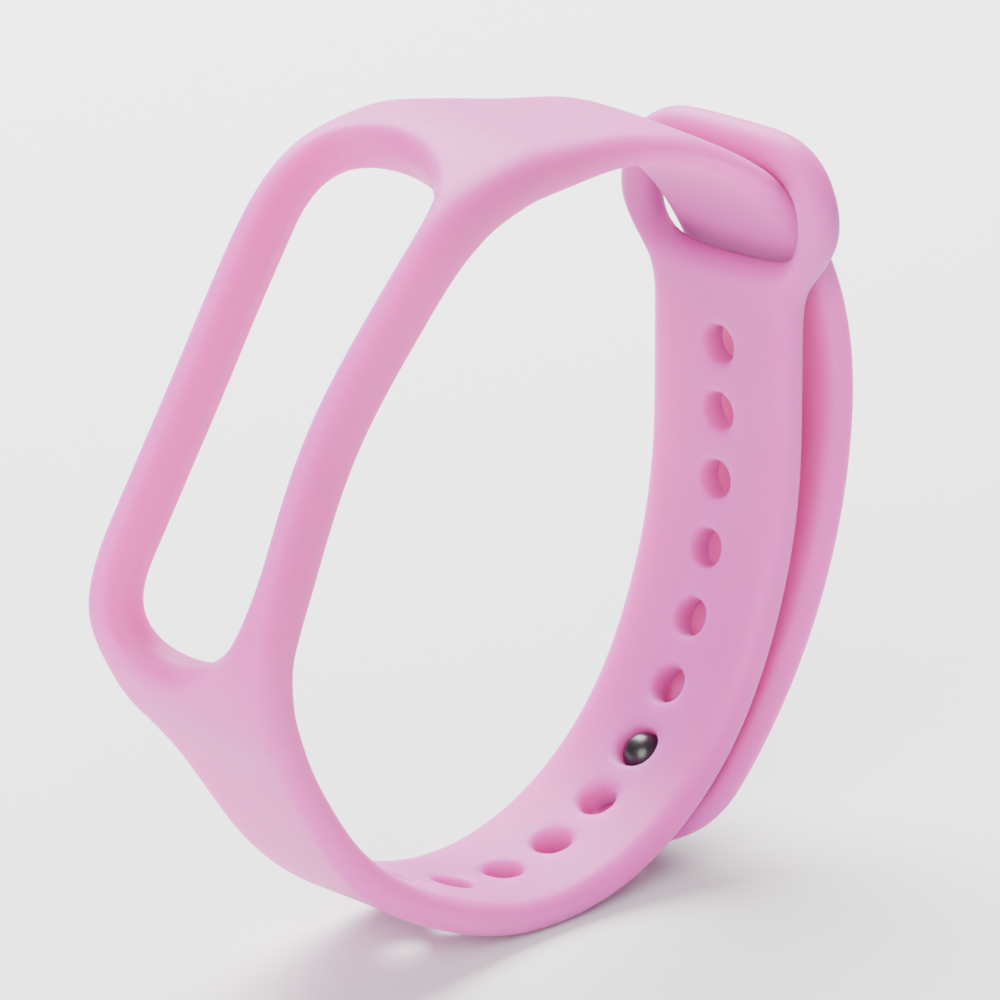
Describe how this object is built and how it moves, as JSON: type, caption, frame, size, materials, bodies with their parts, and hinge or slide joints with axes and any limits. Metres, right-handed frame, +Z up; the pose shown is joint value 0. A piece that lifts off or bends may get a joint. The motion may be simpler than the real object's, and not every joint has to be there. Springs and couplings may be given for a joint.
{
  "type": "fitness tracker band",
  "caption": "Pink silicone wrist band for a capsule fitness tracker, closed into a ring by a keeper loop and a dark stud, without its tracker",
  "frame": {"origin": "The foot of the ring, midway between its leftmost and rightmost points and in the middle of its width", "axes": "+Z up, +X towards the keeper and away from the tracker frame, +Y across the width of the band"},
  "size_m": [0.0684, 0.0218, 0.0648],
  "materials": {
    "silicone": "matte moulded silicone",
    "stud": "polished moulded plastic"
  },
  "bodies": {
    "band": {"capsule_frame": "silicone", "capsule_lip": "silicone", "hole_strap": "silicone", "keeper_loop": "silicone", "tongue_strap": "silicone"},
    "tail": {"tongue_tail": "silicone", "stud_cap": "stud", "stud_pin": "stud"}
  },
  "joints": [
    {"name": "tail_peel", "type": "hinge", "parent": "band", "child": "tail", "pos_m": [0.03056, 0, 0.02259], "axis": [0, -1, 0], "range_deg": [0, 75]}
  ]
}
